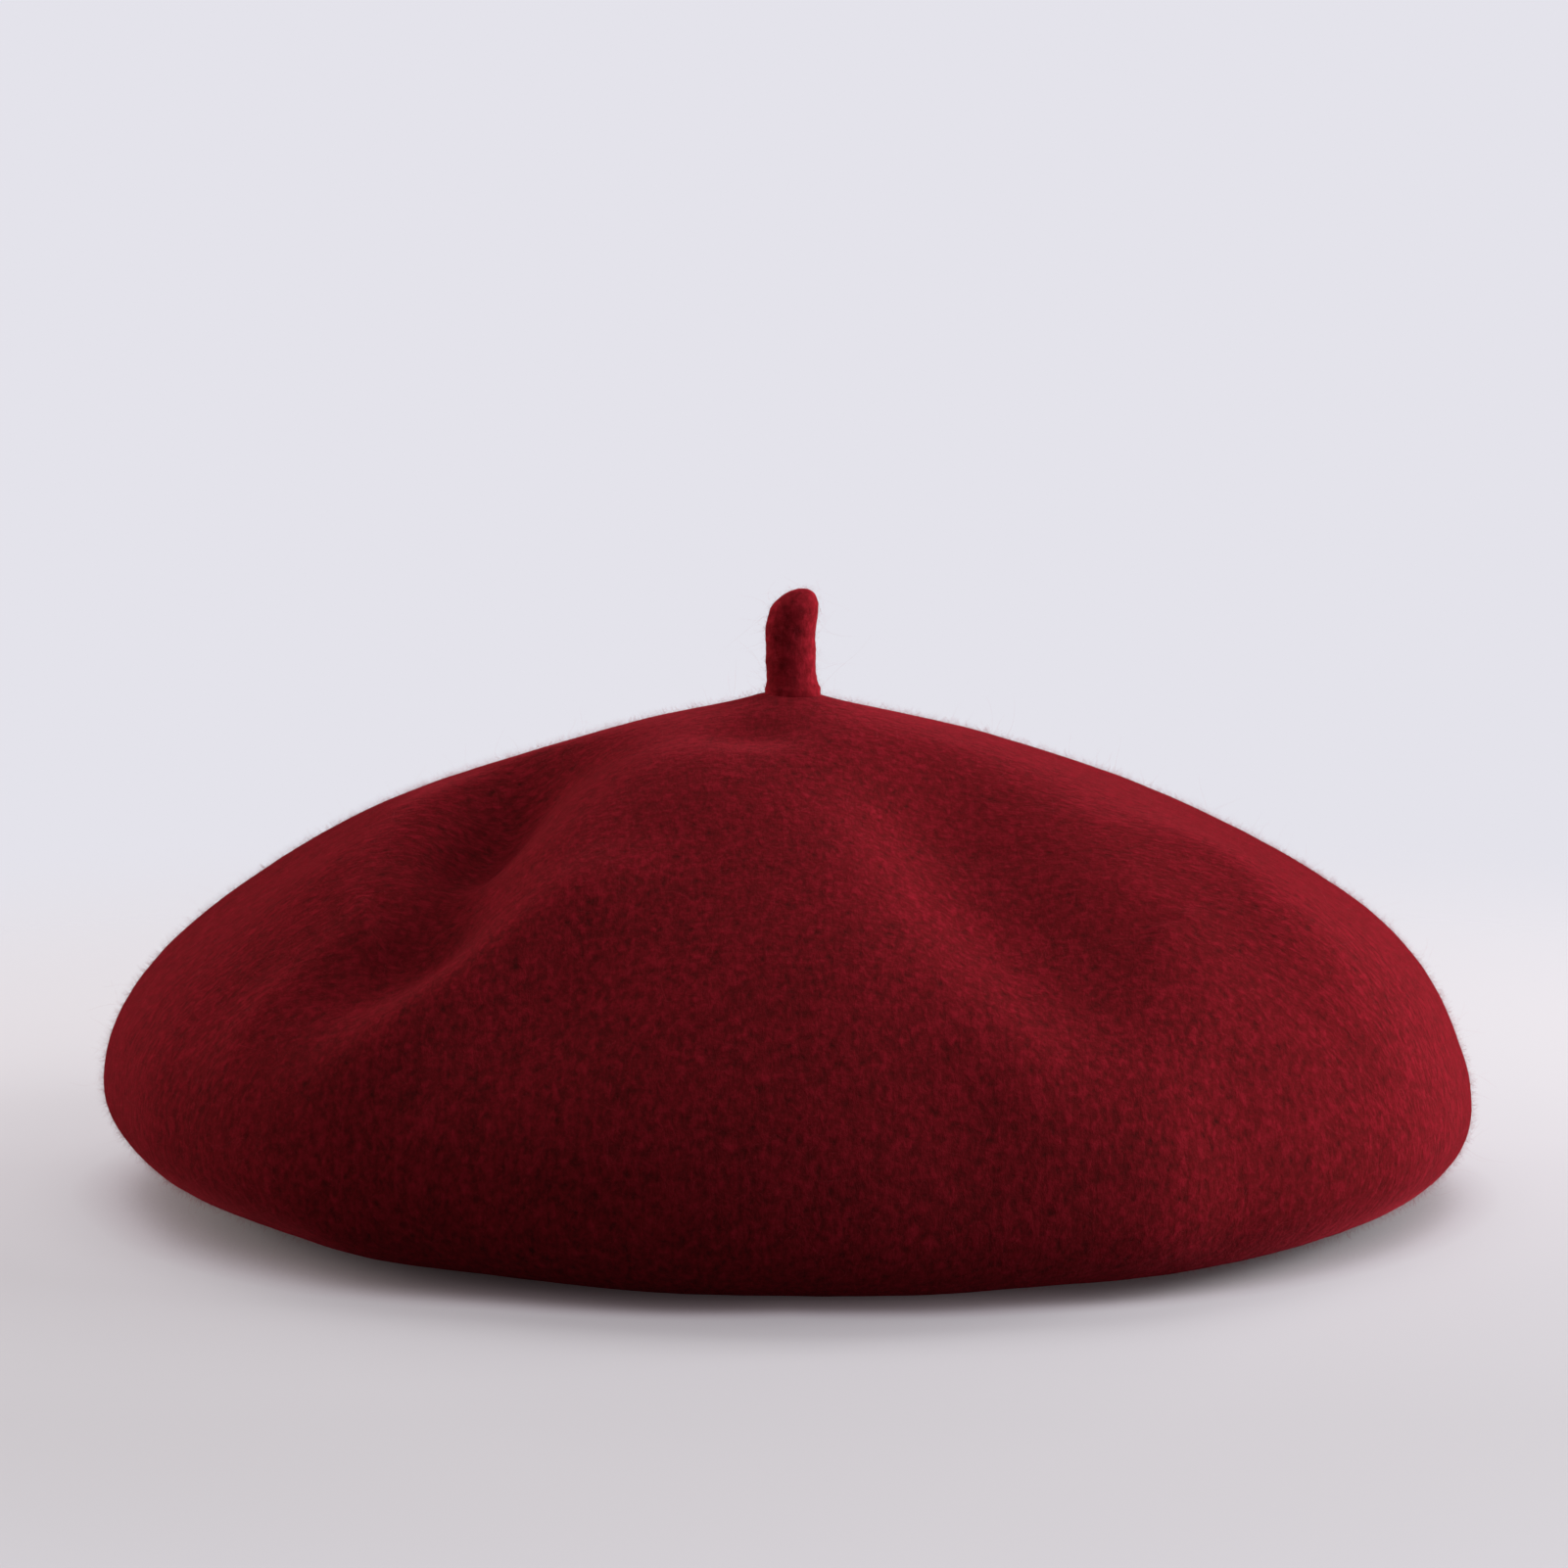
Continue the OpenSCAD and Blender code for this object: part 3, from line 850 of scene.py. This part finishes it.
def bow():
    """Two flat loops of ribbon, pinched in the middle under a wrap."""
    low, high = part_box("band_bow")
    reach, full = high.x, high.z - low.z
    mid_y, mid_z = (low.y + high.y) / 2, (low.z + high.z) / 2
    thick = 0.45 * MM
    for side, name in ((-1, "bow_loop_left"), (1, "bow_loop_right")):
        rings = []
        for a in np.linspace(0, math.pi, 41):
            along = math.sin(a)
            x = side * (0.3 * MM + (reach - 0.5 * MM) * along**0.8)
            y = mid_y - math.cos(a) * (0.35 * MM + 0.75 * MM * along)
            tall = full * (0.62 + 0.36 * float(smooth(along, 0.05, 0.8)))
            crease = 0.10 * MM * math.sin(9 * a)
            ahead = np.array([side * math.cos(a) * reach, math.sin(a) * 0.8 * MM])
            square = np.array([ahead[1], -ahead[0]]) / (np.hypot(*ahead) + 1e-9)
            ring = []
            for z_share, t_share in RIBBON_LOOP:
                bend = crease * (1 - 4 * z_share**2)
                off_x, off_y = square * thick * t_share
                ring.append((x + off_x, y + off_y + bend, mid_z + tall * z_share))
            rings.append(ring)
        rings = np.array(rings)
        loop = skin(name, rings, RIBBON, rings[0].mean(0), rings[-1].mean(0))
        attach(loop, "crown")
        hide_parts("band_bow")

    low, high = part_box("bow_wrap")
    half_w = (high.x - low.x) / 2
    half_y, half_z = (high.y - low.y) / 2 - 0.3 * MM, full * 0.36
    rings = []
    for a in turns_of(40):
        c, s = math.cos(a), math.sin(a)
        square_c, square_s = math.copysign(abs(c) ** 0.6, c), math.copysign(abs(s) ** 0.6, s)
        place = np.array([half_y * square_c, half_z * square_s])
        out = place / np.linalg.norm(place)
        ring = []
        for x_share, t_share in WRAP_LOOP:
            y, z = place + out * 0.5 * MM * t_share
            ring.append((half_w * 0.9 * x_share, mid_y + y, mid_z + z))
        rings.append(ring)
    wrap = skin("bow_knot", np.array(rings), RIBBON, loop=True)
    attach(wrap, "crown")
    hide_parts("bow_wrap")


# ---------------------------------------------------------------- the labels behind the band
LABEL_TURN = math.radians(90 + 55)
LABEL_R = BAND_OUT + 1.0 * MM
LABEL_TOP = BAND_TOP + 1.0 * MM
CARE_WIDE, SIZE_WIDE = 22 * MM, 10 * MM


def label_point(side, out, z):
    """side is along the band, out is away from the middle of the hat, both from the label's hinge."""
    radial = np.array([math.cos(LABEL_TURN), math.sin(LABEL_TURN), 0])
    along = np.array([-radial[1], radial[0], 0])
    return radial * (LABEL_R + out) + along * side + np.array([0, 0, z])


def hanging_label(name, width, long, out, over, top):
    """A tape label: it reaches over the band's top edge by over, folds, and hangs, a bit curled."""
    columns, lines = 23, 41
    thick = 0.16 * MM
    fold_r = 0.2 * MM
    faces_of = ([], [])
    for i in range(lines):
        run = -over + (long + over) * i / (lines - 1)
        for face, t in zip(faces_of, (thick, -thick)):
            row = []
            for side in np.linspace(-width / 2, width / 2, columns):
                curl = 0.25 * MM * (side / (width / 2)) ** 2 * max(run, 0) / long
                if run < 0:
                    row.append(label_point(side, out + run, top + t))
                else:
                    bend = min(run / (0.8 * MM), 1) * math.pi / 2
                    drop = max(0, run - 0.5 * MM) + fold_r * (1 - math.cos(bend))
                    away = out + (fold_r + t) * math.sin(bend) - curl
                    row.append(label_point(side, away, top - drop + t * math.cos(bend)))
            face.append(row)
    return slab(name, np.array(faces_of[0]), np.array(faces_of[1]), WOVEN_LABEL)


def labels():
    """The care label, the size tab that hangs with it, and the bar of thread that tacks them on."""
    low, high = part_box("care_label")
    tall = high.z - low.z
    care = hanging_label("care_tape", CARE_WIDE, tall - 0.4 * MM, -0.15 * MM, 1.1 * MM, LABEL_TOP)
    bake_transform(care)
    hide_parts("care_label")
    low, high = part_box("size_tab")
    # The tab starts a little lower, so that it clears the thread when the labels turn up.
    tab = hanging_label("size_tape", SIZE_WIDE, high.z - low.z, 0.3 * MM, 0.0, LABEL_TOP - 0.8 * MM)
    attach(tab, "labels")
    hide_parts("size_tab")

    dashes = []
    for side in np.linspace(-9, 9, 13) * MM:
        dashes.append([
            label_point(side - 0.5 * MM, -1.5 * MM, BAND_TOP + 0.1 * MM),
            label_point(side - 0.2 * MM, -1.3 * MM, BAND_TOP + 0.9 * MM),
            label_point(side + 0.2 * MM, -0.9 * MM, BAND_TOP + 1.25 * MM),
            label_point(side + 0.6 * MM, -0.5 * MM, BAND_TOP + 0.95 * MM),
        ])
    tack = threads("label_thread", dashes, 0.2 * MM, THREAD)
    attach(tack, "crown")
    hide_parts("label_tack")


def knot():
    """The knot of thread that holds the stem, up against the felt where the crown rises to the stem."""
    low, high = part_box("stem_knot")
    big, small, tube = 2.0 * MM, 0.42 * MM, 0.36 * MM
    x, y = (low.x + high.x) / 2, (low.y + high.y) / 2
    z = STEM_FOOT - FELT_T - small - tube - 0.7 * MM
    path = []
    for a in np.linspace(0, TAU * 2, 120):
        r = big + small * math.cos(2.5 * a)
        path.append((x + r * math.cos(a), y + r * math.sin(a), z + small * math.sin(2.5 * a)))
    piece = threads("stem_thread", [path], tube, THREAD, sides=8)
    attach(piece, "crown")
    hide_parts("stem_knot")


# ---------------------------------------------------------------- table, light and camera
TABLE_R = 0.62
TABLE_GLOW = 0.64


def table():
    """A round of white table top that fades out. Only the camera sees its painted glow, with painted shade
    near the hat, so that its shadows stay light.
    """
    fade_from, fade_to = 0.24, 0.56
    material = make_material("table_paint", Roughness=0.6, Specular_IOR_Level=0.15)
    paint = Paint(material)
    shader = paint.shader
    shader.inputs["Base Color"].default_value = (0.30, 0.296, 0.309, 1)
    # The painted shade under the rim is wider at the sides, and widest on the left, away from the lamps.
    place = paint.node("ShaderNodeSeparateXYZ", {"Vector": paint.place})
    across = place.outputs["X"]
    wider = paint.math("MULTIPLY", paint.math("MULTIPLY", across, across), 0.45)
    reach = paint.math("ADD", paint.span(across, -0.12, 0.0, 8.0 * MM, 4.3 * MM), wider)
    near = paint.node("ShaderNodeAmbientOcclusion", {"Distance": reach}, samples=8).outputs["AO"]
    seen = paint.node("ShaderNodeLightPath").outputs["Is Camera Ray"]
    # The glow is painted dark where the hat is near: a painted contact shadow.
    glow = paint.ramp(near, (0.0, (0.012, 0.007, 0.007)), (0.34, (0.16, 0.12, 0.13)),
                      (0.64, (0.46, 0.40, 0.44)), (1.0, (0.56, 0.515, 0.555)))
    paint.tree.links.new(glow, shader.inputs["Emission Color"])
    # The light comes from behind, so the glow is painted a little darker towards the front: painted shade.
    strength = paint.span(place.outputs["Y"], -0.2, 0.05, 0.86 * TABLE_GLOW, 1.14 * TABLE_GLOW)
    paint.tree.links.new(paint.math("MULTIPLY", seen, strength), shader.inputs["Emission Strength"])
    out = paint.node("ShaderNodeVectorMath", {0: paint.place}, operation="LENGTH").outputs["Value"]
    fade = paint.node("ShaderNodeMapRange", {
        "Value": out, "From Min": fade_from, "From Max": fade_to, "To Min": 1.0, "To Max": 0.0,
    }, interpolation_type="SMOOTHSTEP").outputs["Result"]
    paint.tree.links.new(fade, shader.inputs["Alpha"])
    rings, sides = 24, 96
    turns = turns_of(sides)
    rows = np.array([
        np.stack([np.cos(turns) * r, np.sin(turns) * r, np.zeros(sides)], 1)
        for r in np.linspace(TABLE_R / rings, TABLE_R, rings)
    ])
    top = skin("table", rows, material, (0, 0, 0))
    top.location.z = -0.05 * MM


LIGHTS = (
    # (name, place, (width, height), watts, colour)
    ("right", (1.4, -0.1, 0.6), (1.2, 0.5), 24, (1, 1, 1)),
    ("back_right", (1.1, 0.8, 0.25), (1.2, 0.4), 24.5, (1, 1, 1)),
    ("left", (-1.4, -0.1, 0.6), (1.2, 0.5), 5.8, (1, 0.93, 0.82)),
    ("back_left", (-1.1, 0.8, 0.3), (1.2, 0.4), 15, (1, 0.96, 0.88)),
    ("top", (0.0, 0.1, 1.5), (1.4, 1.2), 11, (1, 1, 1)),
    ("front", (0.8, -1.2, 1.0), (1.0, 0.8), 4.3, (0.9, 1, 0.98)),
)
# The lamps look at the middle of the crown, and the camera stands on a line through it.
CROWN_MIDDLE = (0, 0, 0.05)


def area_light(name, place, size, power, colour):
    data = bpy.data.lights.new(name, "AREA")
    data.shape = "RECTANGLE"
    data.size, data.size_y = size
    data.energy = power
    data.color = colour
    lamp = bpy.data.objects.new(name, data)
    lamp.location = place
    lamp.rotation_euler = (Vector(CROWN_MIDDLE) - Vector(place)).to_track_quat("-Z", "Y").to_euler()
    lamp.visible_camera = False
    bpy.context.scene.collection.objects.link(lamp)


def lights():
    """Soft lamps round the hat, and a pale backdrop that only the camera sees."""
    scene = bpy.context.scene
    world = bpy.data.worlds.new("studio")
    scene.world = world
    world.use_nodes = True
    nodes, links = world.node_tree.nodes, world.node_tree.links
    seen = nodes["Background"]
    seen.inputs["Color"].default_value = (0.776, 0.768, 0.831, 1)
    seen.inputs["Strength"].default_value = 1.0
    fill = nodes.new("ShaderNodeBackground")
    fill.inputs["Color"].default_value = (0.86, 0.85, 1.0, 1)
    fill.inputs["Strength"].default_value = 0.0
    path = nodes.new("ShaderNodeLightPath")
    choose = nodes.new("ShaderNodeMixShader")
    links.new(path.outputs["Is Camera Ray"], choose.inputs["Fac"])
    links.new(fill.outputs[0], choose.inputs[1])
    links.new(seen.outputs[0], choose.inputs[2])
    links.new(choose.outputs[0], nodes["World Output"].inputs["Surface"])
    for lamp in LIGHTS:
        area_light(*lamp)
    scene.view_settings.view_transform = "Standard"


def camera():
    """In front of the crown's middle and nine degrees above it, but aimed higher, to frame the hat low."""
    data = bpy.data.cameras.new("camera")
    data.lens = 122.6
    data.sensor_width = 36
    away, above = 1.1, math.radians(9)
    tilt_down, turn_left = math.radians(7.27), math.radians(0.047)
    cam = bpy.data.objects.new("camera", data)
    cam.location = (0, -away * math.cos(above), CROWN_MIDDLE[2] + away * math.sin(above))
    cam.rotation_euler = (math.radians(90) - tilt_down, 0, turn_left)
    bpy.context.scene.collection.objects.link(cam)
    bpy.context.scene.camera = cam


camera()
crown()
stem()
lining()
patch()
sweatband()
bow()
labels()
knot()
table()
lights()
